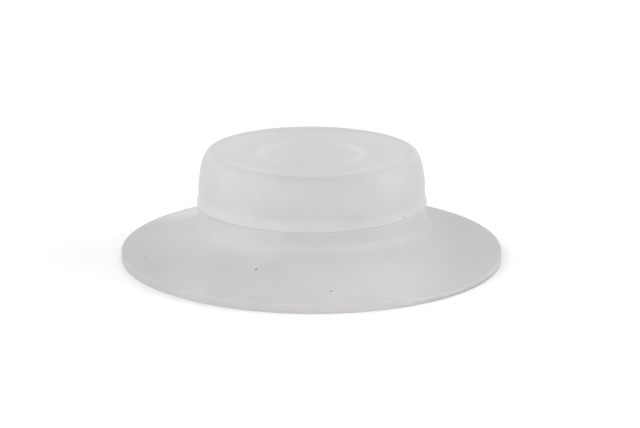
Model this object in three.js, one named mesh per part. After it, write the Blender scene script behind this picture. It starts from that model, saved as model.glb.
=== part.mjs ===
// A palm-operated sink plunger, shaped like a wide-brimmed hat and moulded in frosted translucent
// silicone. A thin flared bell joins a thick sealing lip to a short collar, and the collar carries a
// hollow cap closed by a dished disc that the palm rests on. Pushing the cap down folds the bell and
// forces the air and water under it down the drain.
//
// Millimetres, +Z up. The origin is the middle of the mouth, in the plane that meets the sink.

import * as THREE from "three";

// Driving dimensions

const RIM_RADIUS = 55;
const LIP_HEIGHT = 2.5; // the upright band round the rim
const LIP_WIDTH = 8; // of the ring under the edge of the bell
const LIP_EDGE = 0.5; // rounding of the lip's outer corners
const LIP_TAPER = 1.2; // how far the inner face of the lip leans
const LIP_INNER_HEIGHT = 1.5; // of that face, from the sink up to the bell's underside

const COLLAR_RADIUS = 31.9;
const COLLAR_BORE = 27.2;
const COLLAR_FOOT = 12.3; // height at which the bell runs into the collar

const CAP_RADIUS = 33.2; // at its lower edge, which overhangs the collar
const CAP_WALL = 3;
const CAP_FOOT = 16.7;
const CAP_FLARE_HEIGHT = 2; // of the flared edge under the straight wall
const CAP_FLARE = 0.5;
const CREST_RADIUS = 29.4;
const CREST_HEIGHT = 31.2;
const CREST_DROP = 0.2; // from the crest in to the edge of the disc

const DISH_RADIUS = 28.2;
const DISH_THICKNESS = 3.2;
const DISH_DEPTH = 0.4; // from the crest down to the level ring round the recess
const RECESS_RADIUS = 16.2;
const RECESS_DEPTH = 0.9;
const RECESS_WALL = 3.4; // width of the recess's sloping wall

const SPIGOT_HEIGHT = 2.6; // of the collar's step inside the cap
const SPIGOT_CHAMFER = 0.6;

const ROUND_STEPS = 64;
const CURVE_STEPS = 6;
const SMALL_CURVE_STEPS = 2;

// Sizes that follow from them

const lipInner = RIM_RADIUS - LIP_WIDTH;
const lipTopRadius = RIM_RADIUS - LIP_EDGE;
const spigotRadius = CAP_RADIUS - CAP_WALL;
const crestLip = CREST_HEIGHT - CREST_DROP;
const dishUnder = crestLip - DISH_THICKNESS;
const annulusHeight = CREST_HEIGHT - DISH_DEPTH;
const recessFloor = annulusHeight - RECESS_DEPTH;

// The bell's upper and lower faces are quadratic curves, nearly flat at the rim and steep at the
// collar. These are their middle control points, as radius and height.
const skirtTopBend = [RIM_RADIUS - 11.5, LIP_HEIGHT + 1.5];
const skirtUnderBend = [RIM_RADIUS - 16, LIP_HEIGHT + 1.2];

// A closed half section, drawn counter-clockwise with the radius across and the height up.
function section(radius, height) {
  const path = new THREE.Path();
  path.moveTo(radius, height);
  return path;
}

function turned(name, path, material, curveSteps = CURVE_STEPS) {
  const geometry = new THREE.LatheGeometry(path.getPoints(curveSteps), ROUND_STEPS);
  geometry.rotateX(Math.PI / 2);
  const mesh = new THREE.Mesh(geometry, material);
  mesh.name = name;
  return mesh;
}

function silicone(color, roughness) {
  return new THREE.MeshStandardMaterial({ color, roughness, metalness: 0 });
}

// The thick ring that lies on the sink. Its top slopes up to the rim and carries the bell's edge.
function sealingLip() {
  const path = section(lipInner + LIP_TAPER, 0);
  path.lineTo(RIM_RADIUS - LIP_EDGE, 0);
  path.quadraticCurveTo(RIM_RADIUS, 0, RIM_RADIUS, LIP_EDGE);
  path.lineTo(RIM_RADIUS, LIP_HEIGHT - LIP_EDGE);
  path.quadraticCurveTo(RIM_RADIUS, LIP_HEIGHT, lipTopRadius, LIP_HEIGHT);
  path.lineTo(lipInner, LIP_INNER_HEIGHT);
  path.lineTo(lipInner + LIP_TAPER, 0);
  return turned("sealing_lip", path, silicone(0xd6d4d4, 0.5), SMALL_CURVE_STEPS);
}

// The flexible membrane between the lip and the collar.
function bellSkirt() {
  const path = section(COLLAR_BORE, COLLAR_FOOT);
  path.quadraticCurveTo(...skirtUnderBend, lipInner, LIP_INNER_HEIGHT);
  path.lineTo(lipTopRadius, LIP_HEIGHT);
  path.quadraticCurveTo(...skirtTopBend, COLLAR_RADIUS, COLLAR_FOOT);
  path.lineTo(COLLAR_BORE, COLLAR_FOOT);
  return turned("bell_skirt", path, silicone(0xcecccc, 0.55));
}

// The waist, stepped at its top to plug into the cap.
function neckCollar() {
  const spigotTop = CAP_FOOT + SPIGOT_HEIGHT;
  const path = section(COLLAR_BORE, COLLAR_FOOT);
  path.lineTo(COLLAR_RADIUS, COLLAR_FOOT);
  path.lineTo(COLLAR_RADIUS, CAP_FOOT);
  path.lineTo(spigotRadius, CAP_FOOT);
  path.lineTo(spigotRadius, spigotTop - SPIGOT_CHAMFER);
  path.lineTo(spigotRadius - SPIGOT_CHAMFER, spigotTop);
  path.lineTo(COLLAR_BORE, spigotTop);
  path.lineTo(COLLAR_BORE, COLLAR_FOOT);
  return turned("neck_collar", path, silicone(0xcac8c8, 0.55));
}

// The hollow crown: a wall with a flared lower edge and a tall elliptical shoulder up to the crest.
function palmCap() {
  const shoulderFoot = CAP_FOOT + CAP_FLARE_HEIGHT;
  const shoulderWidth = CAP_RADIUS - CAP_FLARE - CREST_RADIUS;
  const shoulderHeight = CREST_HEIGHT - shoulderFoot;
  const path = section(spigotRadius, CAP_FOOT);
  path.lineTo(CAP_RADIUS, CAP_FOOT);
  path.lineTo(CAP_RADIUS - CAP_FLARE, shoulderFoot);
  path.absellipse(
    CREST_RADIUS, shoulderFoot, shoulderWidth, shoulderHeight, 0, Math.PI / 2, false, 0,
  );
  path.quadraticCurveTo(DISH_RADIUS, CREST_HEIGHT, DISH_RADIUS, crestLip);
  path.lineTo(DISH_RADIUS, dishUnder);
  path.quadraticCurveTo(spigotRadius, dishUnder, spigotRadius, dishUnder - CAP_WALL);
  path.lineTo(spigotRadius, CAP_FOOT);
  return turned("palm_cap", path, silicone(0xd9d7d8, 0.5));
}

// The flexible disc under the palm, hollowed slightly, with a shallow round recess in its middle.
function palmDish() {
  const recessInner = RECESS_RADIUS - RECESS_WALL;
  const path = section(0, dishUnder - RECESS_DEPTH);
  path.lineTo(RECESS_RADIUS, dishUnder - RECESS_DEPTH);
  path.lineTo(DISH_RADIUS, dishUnder);
  path.lineTo(DISH_RADIUS, crestLip);
  path.quadraticCurveTo(DISH_RADIUS - RECESS_WALL, annulusHeight, RECESS_RADIUS, annulusHeight);
  path.bezierCurveTo(
    RECESS_RADIUS - RECESS_WALL / 2, annulusHeight,
    recessInner + RECESS_WALL / 2, recessFloor,
    recessInner, recessFloor,
  );
  path.lineTo(0, recessFloor);
  return turned("palm_dish", path, silicone(0xdadbde, 0.45));
}

const rim = new THREE.Group();
rim.add(sealingLip(), bellSkirt());

const crown = new THREE.Group();
crown.add(neckCollar(), palmCap(), palmDish());

const plunger = new THREE.Group();
plunger.add(rim, crown);

export default plunger;
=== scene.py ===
# A palm-operated sink plunger in frosted silicone: finer pieces stand for the five CAD nodes.
import math

import bmesh
import bpy
import numpy as np
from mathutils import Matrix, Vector


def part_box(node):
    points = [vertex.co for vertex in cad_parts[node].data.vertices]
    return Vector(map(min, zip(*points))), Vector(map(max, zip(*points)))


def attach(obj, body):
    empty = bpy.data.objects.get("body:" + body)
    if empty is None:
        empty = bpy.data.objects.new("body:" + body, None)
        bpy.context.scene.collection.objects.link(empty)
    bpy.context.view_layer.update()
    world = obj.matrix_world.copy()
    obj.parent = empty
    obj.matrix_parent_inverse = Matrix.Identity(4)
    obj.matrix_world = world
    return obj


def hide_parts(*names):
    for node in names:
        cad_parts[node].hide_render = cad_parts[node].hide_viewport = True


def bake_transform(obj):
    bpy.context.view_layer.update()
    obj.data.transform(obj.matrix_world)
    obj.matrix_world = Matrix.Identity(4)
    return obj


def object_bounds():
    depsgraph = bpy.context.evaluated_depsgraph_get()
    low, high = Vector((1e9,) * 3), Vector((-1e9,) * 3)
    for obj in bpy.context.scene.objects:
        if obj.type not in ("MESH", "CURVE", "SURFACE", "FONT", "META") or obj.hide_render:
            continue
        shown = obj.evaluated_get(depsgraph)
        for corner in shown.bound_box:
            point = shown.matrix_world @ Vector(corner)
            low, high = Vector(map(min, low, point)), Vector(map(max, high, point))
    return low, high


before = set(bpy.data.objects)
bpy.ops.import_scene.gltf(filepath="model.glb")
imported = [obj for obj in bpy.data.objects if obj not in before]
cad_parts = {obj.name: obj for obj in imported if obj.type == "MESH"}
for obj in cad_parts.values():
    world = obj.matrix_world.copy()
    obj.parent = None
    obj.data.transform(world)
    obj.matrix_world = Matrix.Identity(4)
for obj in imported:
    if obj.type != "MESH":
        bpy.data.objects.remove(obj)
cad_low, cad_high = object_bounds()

MM = 0.001

# Sizes read from the frame
RIM_RADIUS = cad_high.x
TOP = cad_high.z
LIP_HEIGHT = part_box("sealing_lip")[1].z
SKIRT_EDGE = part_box("bell_skirt")[1].x
COLLAR_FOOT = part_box("neck_collar")[0].z
SPIGOT_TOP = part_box("neck_collar")[1].z
COLLAR_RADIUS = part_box("neck_collar")[1].x
CAP_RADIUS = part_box("palm_cap")[1].x
CAP_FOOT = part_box("palm_cap")[0].z
DISH_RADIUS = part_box("palm_dish")[1].x
DISH_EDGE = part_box("palm_dish")[1].z
DISH_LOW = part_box("palm_dish")[0].z

# Sizes inside those outlines
LIP_WIDTH = 8.0 * MM  # of the ring that lies on the sink
LIP_EDGE = 0.45 * MM  # rounding of the upper outer edge
LIP_LOW_EDGE = 0.15 * MM  # rounding of the lower outer edge
LIP_TAPER = 1.2 * MM  # how far the inner face leans in
LIP_INNER_HEIGHT = 1.5 * MM  # of that face
BELL_TOP_BEND = (RIM_RADIUS - 11.5 * MM, LIP_HEIGHT + 1.5 * MM)  # of the bell's upper face
BELL_UNDER_BEND = (RIM_RADIUS - 16.0 * MM, LIP_HEIGHT + 1.2 * MM)  # of its underside
COLLAR_BORE = COLLAR_RADIUS - 4.7 * MM
NECK_RADIUS = CAP_RADIUS - 0.4 * MM  # of the collar's outside, just inside the cap's edge
NECK_FLARE = 0.2 * MM  # how far the collar widens down to the bell
NECK_TOP = CAP_FOOT - 0.5 * MM  # where it starts to widen
NECK_FOOT = COLLAR_FOOT - 2.3 * MM  # where the neck's slope would meet the bell's
FILLET = 4.0 * MM  # where the bell runs up into the neck
CAP_WALL = 3.0 * MM
CAP_EDGE = 0.3 * MM  # rounding of the lower edge
CAP_SEAT = 0.1 * MM  # from the collar's outside in to where the cap's level seat is spaced to
CAP_GAP = 0.02 * MM  # between the collar's outside and the edge that hangs over it
CAP_FLARE = 0.5 * MM  # how far the lower edge stands out
CAP_FLARE_HEIGHT = 2.0 * MM
CREST_RADIUS = DISH_RADIUS + 1.2 * MM
RECESS_RADIUS = 16.2 * MM
RECESS_WALL = 4.0 * MM  # across the slope down to the recess's floor
RECESS_DEPTH = 0.4 * MM
DISH_SAG = 0.45 * MM  # from the disc's edge down to its level ring
DISH_SLOPE = 1.6 * MM  # how steeply the disc falls away from its edge
DISH_THICKNESS = 3.2 * MM
INNER_RING_RADIUS = 7.5 * MM  # a faint ring in the floor of the recess
INNER_RING_RISE = 0.12 * MM
INNER_RING_REACH = 2.0 * MM  # to either side

# The soft rim doesn't lie quite flat: harmonics of its height round the axis, cosine and sine
RIM_WAVES = ((1, 0.25 * MM, 0.22 * MM), (2, -0.10 * MM, 0.07 * MM), (4, -0.02 * MM, 0.06 * MM))
# On one side the lip is rolled under, so that less of its band shows
ROLL_BEARING = math.radians(-43)
ROLL_SPREAD = math.radians(24)
ROLL_SHARE = 0.6

# The cap's lower edge hangs a little over the collar, lower towards one side
DROOP = 0.5 * MM
DROOP_SWING = 0.25 * MM
DROOP_BEARING = math.radians(215)
DROOP_HEIGHT = 2 * CAP_FLARE_HEIGHT  # how far up the wall it reaches

SEGMENTS = 288
FINE = 0.35 * MM  # spacing of the points along a curved outline
FEWEST_STEPS = 6  # along a short curve
ON_AXIS = 0.001 * MM  # a point nearer the axis than this is on it
SHARP = math.radians(32)  # corners sharper than this keep a hard edge

# Colours, in linear light. The pieces of the one silicone differ a little in colour, partly in tint
# and partly as painted light and shade.
LIP_COLOUR = (0.530, 0.521, 0.518)
BELL_COLOUR = (0.519, 0.512, 0.515)
COLLAR_COLOUR = (0.508, 0.499, 0.501)
CAP_COLOUR = (0.514, 0.505, 0.506)
DISH_COLOUR = (0.511, 0.512, 0.525)
DARK_SPECK = (0.10, 0.09, 0.09)
GREY_SPECK = (0.40, 0.39, 0.38)
BROWN_SPECK = (0.20, 0.14, 0.05)

# The silicone's own pattern: the size of each kind of mark and how much its tone varies
CLOUDS, CLOUD_TONE = 13.0 * MM, 0.02
PATCHES, PATCH_TONE = 4.5 * MM, 0.01
GRAIN, GRAIN_TONE = 0.35 * MM, 0.015
STREAKS, STREAK_TONE = 9.0 * MM, 0.03  # round the lip's band
STREAK_SQUEEZE = 30  # how much finer the streaks are up the band than round it
CLOUD_ROUGHNESS, GRAIN_ROUGHNESS = 0.05, 0.03
DIMPLES, DIMPLE_DEPTH = 3.0 * MM, 0.05 * MM
GRAIN_DEPTH = 0.006 * MM
SCATTER_WEIGHT = 0.45  # how much of the light spreads inside
SCATTER_RADIUS = (1.0, 0.95, 0.9)  # how far red, green and blue spread
NOISE_MIDDLE = (0.3, 0.7)  # the range that holds most of a noise
SPECK_CORE = 0.3  # how much of a speck's size is solid, inside its soft edge

# Painted light and shade: how much lighter (glow) or darker (shade) the silicone's colour is
# painted in places, for light that comes through it more or less and for light and shade on it
END_SHADE, END_REACH, END_OFFSET = 0.10, (26 * MM, 46 * MM), 2 * MM  # the rim, left and right
FOOT_SHADE, FOOT_REACH = 0.03, (1.5 * MM, 7 * MM)  # the bell round the neck
LIP_SHADE, LIP_REACH = 0.08, (-30 * MM, 20 * MM)  # the lip towards the left
LINE_SHADE, LINE_HEIGHT = 0.2, (0.2 * MM, 1.0 * MM)  # its lower edge
LINE_REACH = (10 * MM, 45 * MM)  # where that begins towards the right
FRONT_OFFSET, FRONT_REACH = 4 * MM, (8 * MM, 20 * MM)  # the middle of the front
NECK_SHADE = 0.035  # the collar there
SHOULDER_SHADE, SHOULDER_HEIGHT = 0.025, (TOP - 7 * MM, TOP - 3 * MM)  # the cap's shoulder there
NECK_GLOW, NECK_HEIGHT = 0.10, (CAP_FOOT - 1.6 * MM, CAP_FOOT - 0.3 * MM)  # just under the cap
BAND_GLOW, BAND_HEIGHT = 0.045, (CAP_FOOT + 2.2 * MM, CAP_FOOT + 3.2 * MM)  # cap's lower edge
CREST_GLOW, CREST_HEIGHT = 0.04, (TOP - 1.2 * MM, TOP - 0.2 * MM)  # the crest, but for its front
CREST_BACK = (-24 * MM, -12 * MM)  # where that front ends
DISH_SHADE, DISH_REACH = 0.04, (4 * MM, 20 * MM)  # the disc's middle, from front to back
DISH_GLOW, DISH_RING = 0.035, (RECESS_RADIUS + 3 * MM, DISH_RADIUS - 2 * MM)  # its sides
WALL_GLOW, WALL_REACH = 0.09, 2.8 * MM  # the sides of the recess's wall
SIDE_SLANT = (0.25, 0.75)  # where both begin: distance across over distance from the axis
EDGE_GLOW, EDGE_INSET, EDGE_REACH = 0.04, 2.5 * MM, 3 * MM  # just inside the disc's front edge
EDGE_SLANT = (0.08, 0.3)  # where it begins to either side
EDGE_BACK = (-0.6 * DISH_RADIUS, -0.3 * DISH_RADIUS)  # where it ends towards the back

# Specks in the silicone: radius and height in mm, bearing, size in mm and colour. On the pieces
# that change height they are marks in plan, so their height is 0.
LIP_SPECKS = ((54.8, 2.9, -74.1, 0.55, GREY_SPECK),)
BELL_SPECKS = (
    (49.8, 0, -162.4, 0.45, DARK_SPECK),
    (39.3, 0, -112.5, 0.5, BROWN_SPECK),
    (47.5, 0, -83.3, 0.45, DARK_SPECK),
    (39.0, 0, -35.2, 0.5, GREY_SPECK),
    (50.5, 0, 175.0, 0.6, GREY_SPECK),
)
CAP_SPECKS = ((33.1, 17.4, -38.0, 0.6, GREY_SPECK),)
DISH_SPECKS = ((21.3, 0, 128.6, 0.4, DARK_SPECK),)

# Broad patches of painted light in the bell: right and back from the axis, reach in mm and how much
# lighter
PAINTED_BELL_PATCHES = ((-38, 36, 24, 0.20), (12, -40, 22, 0.03))

# Camera: in rim radii from the middle of the mouth
CAMERA_DISTANCE = 12.0
CAMERA_ELEVATION = math.radians(15.75)
CAMERA_ACROSS = 0.0437
CAMERA_UP = 0.2231
CAMERA_ROLL = math.radians(0.3)
LENS, SENSOR = 128.28, 36.0  # in mm

# Light and floor
LEFT_LIGHT = (0.985, 0.97, 1.0)
LEFT_FRONT_LIGHT = (1.0, 0.99, 0.985)
BACK_LIGHT = (0.99, 0.99, 1.0)
RIGHT_LIGHT = (1.0, 0.997, 0.985)
FRONT_LIGHT = (0.985, 1.0, 0.95)
ROOM_LIGHT = 0.25  # from all round
FLOOR_REACH = 3.0
FLOOR_COLOUR = (0.93, 0.93, 0.93, 1)
BOX_DISTANCE = 1.8
BOX_SIZE = (1.2, 1.0)
SOFT_BOXES = (  # name, bearing, elevation, watts and colour
    ("left_high", 180, 55, 7.3, LEFT_LIGHT),
    ("left_low", 180, 22, 8.9, LEFT_LIGHT),
    ("left_back", 145, 22, 2.8, BACK_LIGHT),
    ("back", 110, 22, 4.4, BACK_LIGHT),
    ("back_high", 60, 55, 7.0, BACK_LIGHT),
    ("back_low", 70, 22, 3.6, BACK_LIGHT),
    ("right_back", 35, 22, 2.3, BACK_LIGHT),
    ("right_low", 0, 22, 15.6, RIGHT_LIGHT),
    ("right_front", 290, 22, 7.0, FRONT_LIGHT),
    ("left_front", 250, 22, 14.5, LEFT_FRONT_LIGHT),
)


# Outlines ---------------------------------------------------------------------------------------

def line(start, end):
    """Points from start to end, without the end."""
    start, end = np.array(start), np.array(end)
    steps = max(1, round(float(np.linalg.norm(end - start)) / (2 * FINE)))
    return [tuple(start + (end - start) * i / steps) for i in range(steps)]


def curve(start, bend, end):
    """A quadratic curve from start to end, without the end."""
    start, bend, end = np.array(start), np.array(bend), np.array(end)
    length = np.linalg.norm(bend - start) + np.linalg.norm(end - bend)
    steps = max(FEWEST_STEPS, round(float(length) / FINE))
    shares = [i / steps for i in range(steps)]
    return [tuple(start * (1 - t) ** 2 + bend * 2 * t * (1 - t) + end * t * t) for t in shares]


def shoulder(foot, crest):
    """A quarter of an ellipse that leaves foot upright and reaches crest level, without crest."""
    width, height = foot[0] - crest[0], crest[1] - foot[1]
    steps = round((width + height) / FINE)
    turns = [math.pi / 2 * i / steps for i in range(steps)]
    return [(crest[0] + width * math.cos(a), foot[1] + height * math.sin(a)) for a in turns]


# Meshes -----------------------------------------------------------------------------------------

def rim_wave(angle):
    """How much higher the rim is at a bearing than on average."""
    return sum(c * math.cos(n * angle) + s * math.sin(n * angle) for n, c, s in RIM_WAVES)


# Lifts the wave, so that it is nowhere below the flat rim
LIFT_MIDDLE = -min(rim_wave(2 * math.pi * i / SEGMENTS) for i in range(SEGMENTS))


def roll(angle):
    """How much of the lip's height is rolled under at a bearing, from 0 to ROLL_SHARE."""
    away = math.remainder(angle - ROLL_BEARING, 2 * math.pi) / ROLL_SPREAD
    return ROLL_SHARE * math.exp(-away * away)


def wavy(radius, height, angle):
    """Lifts and squashes the rim at a bearing, less and less towards the collar. Its underside
    stays on the floor."""
    share = np.clip((radius - COLLAR_RADIUS) / (RIM_RADIUS - COLLAR_RADIUS), 0, 1)
    off_floor = np.clip(height / LIP_HEIGHT, 0, 1)
    lift = share ** 2 * off_floor * (LIFT_MIDDLE + rim_wave(angle))
    return radius, height * (1 - share ** 4 * roll(angle)) + lift


def drooping(radius, height, angle):
    """Lowers the cap's outer edge, outside the collar, less and less up the wall."""
    if radius < NECK_RADIUS:
        return radius, height
    share = np.clip(1 - (height - CAP_FOOT) / DROOP_HEIGHT, 0, 1)
    fall = DROOP + DROOP_SWING * math.cos(angle - DROOP_BEARING)
    return radius, height - share * fall


def steady(radius, height, angle):
    """Leaves a point where it is."""
    return radius, height


def revolve(name, outline, warp=steady):
    """A closed body of revolution. outline runs round its half section, or from axis to axis, and
    warp moves a point of it at a bearing."""
    mesh = bmesh.new()
    angles = [2 * math.pi * i / SEGMENTS for i in range(SEGMENTS)]
    rings = []
    for radius, height in outline:
        if radius < ON_AXIS:
            rings.append([mesh.verts.new((0, 0, height))] * SEGMENTS)
            continue
        ring = []
        for angle in angles:
            r, z = warp(radius, height, angle)
            ring.append(mesh.verts.new((r * math.cos(angle), r * math.sin(angle), z)))
        rings.append(ring)
    closed = outline[0][0] >= ON_AXIS
    pairs = list(zip(rings, rings[1:] + rings[:1])) if closed else list(zip(rings, rings[1:]))
    for low, high in pairs:
        for i in range(SEGMENTS):
            j = (i + 1) % SEGMENTS
            corners = [low[i], low[j], high[j], high[i]]
            mesh.faces.new(list(dict.fromkeys(corners)))  # two are one next to the axis
    bmesh.ops.recalc_face_normals(mesh, faces=mesh.faces)
    data = bpy.data.meshes.new(name)
    mesh.to_mesh(data)
    mesh.free()
    data.shade_smooth()
    data.set_sharp_from_angle(angle=SHARP)
    piece = bpy.data.objects.new(name, data)
    bpy.context.scene.collection.objects.link(piece)
    return piece


def lip_outline():
    """The ring that lies on the sink, with an inner face that leans in."""
    inner = RIM_RADIUS - LIP_WIDTH
    low = (RIM_RADIUS - LIP_LOW_EDGE, 0)
    low_side = (RIM_RADIUS, LIP_LOW_EDGE)
    high_side = (RIM_RADIUS, LIP_HEIGHT - LIP_EDGE)
    high = (SKIRT_EDGE, LIP_HEIGHT)
    return [
        *line((inner + LIP_TAPER, 0), low),
        *curve(low, (RIM_RADIUS, 0), low_side),
        *line(low_side, high_side),
        *curve(high_side, (RIM_RADIUS, LIP_HEIGHT), high),
        *line(high, (inner, LIP_INNER_HEIGHT)),
        *line((inner, LIP_INNER_HEIGHT), (inner + LIP_TAPER, 0)),
    ]


def neck_line(height):
    """The tangent at the foot of the flared neck, which the bell's fillet carries on."""
    bend = (NECK_TOP + COLLAR_FOOT) / 2
    return NECK_RADIUS + NECK_FLARE * (bend - height) / (bend - COLLAR_FOOT), height


def skirt_outline():
    """The thin bell, with a fillet that runs up into the neck."""
    inner = (RIM_RADIUS - LIP_WIDTH, LIP_INNER_HEIGHT)
    edge = (SKIRT_EDGE, LIP_HEIGHT)
    neck = (NECK_RADIUS + NECK_FLARE, COLLAR_FOOT)
    corner = neck_line(NECK_FOOT)
    slope = (corner[1] - BELL_TOP_BEND[1]) / (corner[0] - BELL_TOP_BEND[0])
    meet = (NECK_RADIUS + FILLET, corner[1] + slope * (NECK_RADIUS + FILLET - corner[0]))
    return [
        *curve((COLLAR_BORE, COLLAR_FOOT), BELL_UNDER_BEND, inner),
        *line(inner, edge),
        *curve(edge, BELL_TOP_BEND, meet),
        *curve(meet, corner, neck),
        *line(neck, (COLLAR_BORE, COLLAR_FOOT)),
    ]


def collar_outline():
    """The upright neck, and its spigot inside the cap."""
    spigot = CAP_RADIUS - CAP_WALL
    neck = (NECK_RADIUS + NECK_FLARE, COLLAR_FOOT)
    bend = (NECK_RADIUS, (NECK_TOP + COLLAR_FOOT) / 2)
    return [
        *line((COLLAR_BORE, COLLAR_FOOT), neck),
        *curve(neck, bend, (NECK_RADIUS, NECK_TOP)),
        *line((NECK_RADIUS, NECK_TOP), (NECK_RADIUS, CAP_FOOT)),
        *line((NECK_RADIUS, CAP_FOOT), (spigot, CAP_FOOT)),
        *line((spigot, CAP_FOOT), (spigot, SPIGOT_TOP)),
        *line((spigot, SPIGOT_TOP), (COLLAR_BORE, SPIGOT_TOP)),
        *line((COLLAR_BORE, SPIGOT_TOP), (COLLAR_BORE, COLLAR_FOOT)),
    ]


def cap_outline():
    """The cap's wall: its flared lower edge, the shoulder, the crest and the seat of the disc.

    Where the edge droops, the underside slants down to it from the last point of the level seat,
    so the cap takes in the collar's top corner and hides it."""
    spigot = CAP_RADIUS - CAP_WALL
    low = (CAP_RADIUS - CAP_EDGE, CAP_FOOT)
    low_side = (CAP_RADIUS, CAP_FOOT + CAP_EDGE)
    flare_top = (CAP_RADIUS - CAP_FLARE, CAP_FOOT + CAP_FLARE_HEIGHT)
    crest = (CREST_RADIUS, TOP)
    under = DISH_EDGE - DISH_THICKNESS
    return [
        *line((spigot, CAP_FOOT), (NECK_RADIUS - CAP_SEAT, CAP_FOOT)),
        *line((NECK_RADIUS + CAP_GAP, CAP_FOOT), low),
        *curve(low, (CAP_RADIUS, CAP_FOOT), low_side),
        *line(low_side, flare_top),
        *shoulder(flare_top, crest),
        *curve(crest, ((CREST_RADIUS + DISH_RADIUS) / 2, TOP), (DISH_RADIUS, DISH_EDGE)),
        *line((DISH_RADIUS, DISH_EDGE), (DISH_RADIUS, under)),
        *curve((DISH_RADIUS, under), (spigot, under), (spigot, under - CAP_WALL)),
        *line((spigot, under - CAP_WALL), (spigot, CAP_FOOT)),
    ]


def dish_outline():
    """The disc: a slope down from its edge, a level ring, and a recess with a faint ring in it."""
    under = DISH_EDGE - DISH_THICKNESS
    level = DISH_EDGE - DISH_SAG
    floor = level - RECESS_DEPTH
    inner = RECESS_RADIUS - RECESS_WALL
    middle = ((inner + RECESS_RADIUS) / 2, (level + floor) / 2)
    ring = INNER_RING_RADIUS
    ring_out = (ring + INNER_RING_REACH, floor)
    ring_top = (ring, floor + INNER_RING_RISE)
    ring_in = (ring - INNER_RING_REACH, floor)
    return [
        *line((0, DISH_LOW), (RECESS_RADIUS, DISH_LOW)),
        *line((RECESS_RADIUS, DISH_LOW), (DISH_RADIUS, under)),
        *line((DISH_RADIUS, under), (DISH_RADIUS, DISH_EDGE)),
        *curve((DISH_RADIUS, DISH_EDGE), (DISH_RADIUS - DISH_SLOPE, level), (RECESS_RADIUS, level)),
        *curve((RECESS_RADIUS, level), (RECESS_RADIUS - RECESS_WALL / 4, level), middle),
        *curve(middle, (inner + RECESS_WALL / 4, floor), (inner, floor)),
        *line((inner, floor), ring_out),
        *curve(ring_out, (ring + INNER_RING_REACH / 2, floor), ring_top),
        *curve(ring_top, (ring - INNER_RING_REACH / 2, floor), ring_in),
        *line(ring_in, (0, floor)),
        (0, floor),
    ]


# Materials --------------------------------------------------------------------------------------

class Shading:
    """A material's node tree, with short calls for the nodes that the silicone needs."""

    def __init__(self, name):
        self.material = bpy.data.materials.new(name)
        self.material.use_nodes = True
        self.nodes = self.material.node_tree.nodes
        self.links = self.material.node_tree.links
        self.shader = self.nodes["Principled BSDF"]

    def feed(self, socket, value):
        if isinstance(value, bpy.types.NodeSocket):
            self.links.new(value, socket)
        else:
            socket.default_value = value

    def math(self, operation, *values):
        node = self.nodes.new("ShaderNodeMath")
        node.operation = operation
        for socket, value in zip(node.inputs, values):
            self.feed(socket, value)
        return node.outputs["Value"]

    def vector(self, operation, *values):
        node = self.nodes.new("ShaderNodeVectorMath")
        node.operation = operation
        for socket, value in zip(node.inputs, values):
            self.feed(socket, value)
        return node.outputs["Value" if operation in ("DISTANCE", "LENGTH") else "Vector"]

    def scaled(self, vector, factor):
        node = self.nodes.new("ShaderNodeVectorMath")
        node.operation = "SCALE"
        self.feed(node.inputs["Vector"], vector)
        self.feed(node.inputs["Scale"], factor)
        return node.outputs["Vector"]

    def spread(self, value, low, high, new_low, new_high):
        """Turns the range low to high smoothly into new_low to new_high, and keeps to it beyond."""
        node = self.nodes.new("ShaderNodeMapRange")
        node.interpolation_type = "SMOOTHSTEP"
        self.feed(node.inputs["Value"], value)
        node.inputs["From Min"].default_value = low
        node.inputs["From Max"].default_value = high
        node.inputs["To Min"].default_value = new_low
        node.inputs["To Max"].default_value = new_high
        return node.outputs["Result"]

    def varied(self, noise, low, high):
        """Noise spread over a range, with its middle stretched to fill it."""
        return self.spread(noise, *NOISE_MIDDLE, low, high)

    def mottled(self, noise, share):
        """Noise as a factor that varies by share to either side of 1."""
        return self.varied(noise, 1 - share, 1 + share)

    def noise(self, place, size, detail):
        """Noise with features about size across, from 0 to 1."""
        node = self.nodes.new("ShaderNodeTexNoise")
        self.feed(node.inputs["Vector"], place)
        node.inputs["Scale"].default_value = 1 / size
        node.inputs["Detail"].default_value = detail
        return node.outputs["Fac"]

    def bump(self, height, depth, under=None):
        node = self.nodes.new("ShaderNodeBump")
        node.inputs["Distance"].default_value = depth
        self.feed(node.inputs["Height"], height)
        if under is not None:
            self.feed(node.inputs["Normal"], under)
        return node.outputs["Normal"]

    def split(self, place):
        node = self.nodes.new("ShaderNodeSeparateXYZ")
        self.feed(node.inputs["Vector"], place)
        return node.outputs["X"], node.outputs["Y"], node.outputs["Z"]

    def blend(self, share, first, second):
        node = self.nodes.new("ShaderNodeMix")
        node.data_type = "RGBA"
        self.feed(node.inputs["Factor"], share)
        self.feed(node.inputs["A"], first)
        self.feed(node.inputs["B"], second)
        return node.outputs["Result"]


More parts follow.
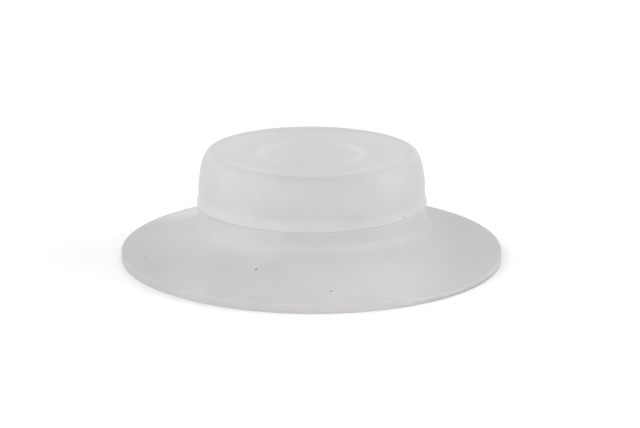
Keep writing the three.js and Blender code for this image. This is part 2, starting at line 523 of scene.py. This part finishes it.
def frosted(name, colour, roughness, depth=0.0, specks=(), detail=None, in_plan=False):
    """Milky silicone: cloudy in colour, with a fine matt grain and a softly uneven surface.

    depth is how far light spreads inside it. specks are inclusions. detail(shading, place) gives
    a factor on the colour for painted light and shade, and marks, that only one piece has. in_plan
    lays the grain and specks out in plan, so that they don't slide over a piece that changes
    height."""
    s = Shading(name)
    place = s.nodes.new("ShaderNodeTexCoord").outputs["Object"]
    if in_plan:
        place = s.vector("MULTIPLY", place, (1, 1, 0))
    clouds = s.noise(place, CLOUDS, 3)
    patches = s.noise(place, PATCHES, 2)
    grain = s.noise(place, GRAIN, 2)
    tone = s.math("MULTIPLY", s.mottled(clouds, CLOUD_TONE), s.mottled(patches, PATCH_TONE))
    tone = s.math("MULTIPLY", tone, s.mottled(grain, GRAIN_TONE))
    if detail:
        tone = s.math("MULTIPLY", tone, detail(s, place))
    base = s.scaled(colour, tone)
    for radius, height, bearing, size, speck_colour in specks:
        angle = math.radians(bearing)
        centre = Vector((radius * math.cos(angle), radius * math.sin(angle), height)) * MM
        reach = s.vector("DISTANCE", place, centre)
        share = s.spread(reach, SPECK_CORE * size * MM, size * MM, 1, 0)
        base = s.blend(share, base, (*speck_colour, 1))
    s.feed(s.shader.inputs["Base Color"], base)

    s.feed(s.shader.inputs["Roughness"], s.math(
        "ADD", s.varied(clouds, roughness - CLOUD_ROUGHNESS, roughness + CLOUD_ROUGHNESS),
        s.varied(grain, -GRAIN_ROUGHNESS, GRAIN_ROUGHNESS),
    ))
    uneven = s.bump(s.noise(place, DIMPLES, 2), DIMPLE_DEPTH)
    s.feed(s.shader.inputs["Normal"], s.bump(grain, GRAIN_DEPTH, uneven))
    if depth:
        s.shader.inputs["Subsurface Weight"].default_value = SCATTER_WEIGHT
        s.shader.inputs["Subsurface Radius"].default_value = SCATTER_RADIUS
        s.shader.inputs["Subsurface Scale"].default_value = depth
    return s.material


def apart(s, value, other):
    """How far two values are apart."""
    return s.math("ABSOLUTE", s.math("SUBTRACT", value, other))


def end_shade(s, across):
    """Painted shade: darker towards both ends."""
    return s.spread(apart(s, across, -END_OFFSET), *END_REACH, 1, 1 - END_SHADE)


def front_middle(s, across, back):
    """1 in the middle of the front and 0 at the sides and the back."""
    middle = s.spread(apart(s, across, FRONT_OFFSET), *FRONT_REACH, 1, 0)
    return s.math("MULTIPLY", middle, s.spread(back, -NECK_RADIUS / 2, 0, 1, 0))


def bell_painted_light_and_shade(s, place):
    """Painted shade at both ends and round the neck, with broad patches of painted light."""
    across, back, up = s.split(place)
    off_neck = s.math("SUBTRACT", s.vector("LENGTH", place), NECK_RADIUS)
    foot = s.spread(off_neck, *FOOT_REACH, 1 - FOOT_SHADE, 1)
    tone = s.math("MULTIPLY", end_shade(s, across), foot)
    for right, behind, reach, gain in PAINTED_BELL_PATCHES:
        off = s.vector("DISTANCE", place, Vector((right, behind, 0)) * MM)
        patch = s.spread(off, reach / 4 * MM, reach * MM, 1 + gain, 1)
        tone = s.math("MULTIPLY", tone, patch)
    return tone


def lip_streaks_and_painted_shade(s, place):
    """Faint streaks that run round the band, and painted shade: darker towards both ends and more
    so to the left, and a darker line along the lower edge to the right."""
    across, back, up = s.split(place)
    streaks = s.noise(s.vector("MULTIPLY", place, (1, 1, STREAK_SQUEEZE)), STREAKS, 3)
    lower = s.spread(up, *LINE_HEIGHT, 1, 0)
    line_share = s.math("MULTIPLY", s.spread(across, *LINE_REACH, 0, 1), lower)
    tone = s.math("MULTIPLY", s.mottled(streaks, STREAK_TONE), end_shade(s, across))
    tone = s.math("MULTIPLY", tone, s.spread(across, *LIP_REACH, 1 - LIP_SHADE, 1))
    return s.math("MULTIPLY", tone, s.spread(line_share, 0, 1, 1, 1 - LINE_SHADE))


def collar_painted_light_and_shade(s, place):
    """Painted light just under the cap's edge, and painted shade in the middle of the front."""
    across, back, up = s.split(place)
    glow = s.spread(up, *NECK_HEIGHT, 1, 1 + NECK_GLOW)
    front = front_middle(s, across, back)
    return s.math("MULTIPLY", glow, s.spread(front, 0, 1, 1, 1 - NECK_SHADE))


def cap_painted_light_and_shade(s, place):
    """Painted light in a band along the lower edge and on the crest behind, and painted shade in
    the middle of the shoulder in front."""
    across, back, up = s.split(place)
    band = s.spread(up, *BAND_HEIGHT, 1 + BAND_GLOW, 1)
    height = s.spread(up, *SHOULDER_HEIGHT, 0, 1)
    front = s.math("MULTIPLY", height, front_middle(s, across, back))
    crest = s.spread(up, *CREST_HEIGHT, 0, CREST_GLOW)
    behind = s.spread(back, *CREST_BACK, 0, 1)
    tone = s.math("MULTIPLY", band, s.spread(front, 0, 1, 1, 1 - SHOULDER_SHADE))
    return s.math("MULTIPLY_ADD", crest, behind, tone)


def dish_painted_light_and_shade(s, place):
    """Painted light in crescents at both sides of the recess's wall and of the disc's edge, a
    painted highlight in a line inside the edge at both sides of the front, and painted shade in the
    middle."""
    across, back, up = s.split(place)
    radius = s.vector("LENGTH", place)
    wall = s.spread(apart(s, radius, RECESS_RADIUS - RECESS_WALL / 2), 0, WALL_REACH, WALL_GLOW, 0)
    ring = s.spread(radius, *DISH_RING, 0, DISH_GLOW)
    slant = s.math("DIVIDE", s.math("ABSOLUTE", across), radius)
    side = s.spread(slant, *SIDE_SLANT, 0, 1)
    middle = s.spread(s.math("ABSOLUTE", across), *DISH_REACH, 1 - DISH_SHADE, 1)
    edge = s.spread(apart(s, radius, DISH_RADIUS - EDGE_INSET), 0, EDGE_REACH, EDGE_GLOW, 0)
    edge = s.math("MULTIPLY", edge, s.spread(back, *EDGE_BACK, 1, 0))
    tone = s.math("MULTIPLY_ADD", s.math("ADD", wall, ring), side, middle)
    return s.math("MULTIPLY_ADD", edge, s.spread(slant, *EDGE_SLANT, 0, 1), tone)


# Stage ------------------------------------------------------------------------------------------

def plain_floor():
    """A pale matt floor at the height of the lip's underside."""
    data = bpy.data.meshes.new("floor")
    ends = (-FLOOR_REACH, FLOOR_REACH)
    corners = [(x, y, 0) for x in ends for y in ends]
    data.from_pydata(corners, [], [(0, 2, 3, 1)])
    floor = bpy.data.objects.new("floor", data)
    bpy.context.scene.collection.objects.link(floor)
    material = bpy.data.materials.new("floor")
    material.use_nodes = True
    shader = material.node_tree.nodes["Principled BSDF"]
    shader.inputs["Base Color"].default_value = FLOOR_COLOUR
    shader.inputs["Roughness"].default_value = 0.9
    shader.inputs["Specular IOR Level"].default_value = 0.0
    data.materials.append(material)


def soft_box(name, bearing, elevation, power, colour):
    """A lamp on a sphere round the part, aimed at it. Bearing 0 is to the right, 90 behind."""
    turn, rise = math.radians(bearing), math.radians(elevation)
    place = Vector((
        math.cos(turn) * math.cos(rise), math.sin(turn) * math.cos(rise), math.sin(rise)
    )) * BOX_DISTANCE
    data = bpy.data.lights.new(name, "AREA")
    data.shape = "RECTANGLE"
    data.size, data.size_y = BOX_SIZE
    data.energy = power
    data.color = colour
    lamp = bpy.data.objects.new(name, data)
    lamp.location = place
    lamp.rotation_euler = (-place).to_track_quat("-Z", "Y").to_euler()
    bpy.context.scene.collection.objects.link(lamp)


def lighting():
    """The soft boxes and a little light from all round, with tones as they are."""
    world = bpy.data.worlds.new("studio")
    bpy.context.scene.world = world
    world.use_nodes = True
    background = world.node_tree.nodes["Background"]
    background.inputs["Color"].default_value = (1, 1, 1, 1)
    background.inputs["Strength"].default_value = ROOM_LIGHT
    for box in SOFT_BOXES:
        soft_box(*box)
    bpy.context.scene.view_settings.view_transform = "Standard"


def camera():
    """A long lens that looks down at the part from the front."""
    data = bpy.data.cameras.new("camera")
    data.lens = LENS
    data.sensor_width = SENSOR
    distance = CAMERA_DISTANCE * RIM_RADIUS
    eye = bpy.data.objects.new("camera", data)
    eye.location = (
        CAMERA_ACROSS * RIM_RADIUS,
        -distance * math.cos(CAMERA_ELEVATION),
        distance * math.sin(CAMERA_ELEVATION) + CAMERA_UP * RIM_RADIUS,
    )
    eye.rotation_mode = "ZYX"
    eye.rotation_euler = (math.pi / 2 - CAMERA_ELEVATION, 0, CAMERA_ROLL)
    bpy.context.scene.collection.objects.link(eye)
    bpy.context.scene.camera = eye


# Assembly ---------------------------------------------------------------------------------------

def finished(piece, node, material):
    """Gives a piece its material and hides the CAD node that it stands for."""
    piece.data.materials.append(material)
    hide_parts(node)
    return piece


def radial_blend(piece, share_at):
    """Bakes a piece's placing into its mesh and works out a share for each of its points by its
    distance from the axis."""
    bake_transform(piece)
    weights = [share_at(math.hypot(v.co.x, v.co.y)) for v in piece.data.vertices]


def skirt_share(radius):
    """0 at the lip and 1 from the neck inwards, in step with the bell's upper face."""
    outer = RIM_RADIUS - LIP_WIDTH
    t = np.clip((outer - radius) / (outer - NECK_RADIUS - NECK_FLARE), 0, 1)
    return float(t ** 1.5)


def dish_share(radius):
    """0 at the cap's crest and 1 in the middle of the disc."""
    t = np.clip(1 - radius / DISH_RADIUS, 0, 1)
    return float(t * t * (3 - 2 * t))


camera()
lighting()
plain_floor()

lip = finished(
    revolve("rim_lip", lip_outline(), wavy), "sealing_lip",
    frosted("lip_silicone", LIP_COLOUR, 0.5, depth=0.5 * MM, specks=LIP_SPECKS, detail=lip_streaks_and_painted_shade),
)
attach(lip, "lip")

skirt = finished(
    revolve("bell_membrane", skirt_outline(), wavy), "bell_skirt",
    frosted(
        "bell_silicone", BELL_COLOUR, 0.55, specks=BELL_SPECKS, detail=bell_painted_light_and_shade, in_plan=True
    ),
)
radial_blend(skirt, skirt_share)

collar = finished(
    revolve("waist_collar", collar_outline()), "neck_collar",
    frosted("collar_silicone", COLLAR_COLOUR, 0.55, detail=collar_painted_light_and_shade),
)
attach(collar, "crown")

cap = finished(
    revolve("crown_cap", cap_outline(), drooping), "palm_cap",
    frosted("cap_silicone", CAP_COLOUR, 0.5, depth=0.7 * MM, specks=CAP_SPECKS, detail=cap_painted_light_and_shade),
)
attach(cap, "crown")

dish = finished(
    revolve("dished_disc", dish_outline()), "palm_dish",
    frosted(
        "dish_silicone", DISH_COLOUR, 0.45, depth=0.7 * MM, specks=DISH_SPECKS,
        detail=dish_painted_light_and_shade, in_plan=True,
    ),
)
radial_blend(dish, dish_share)
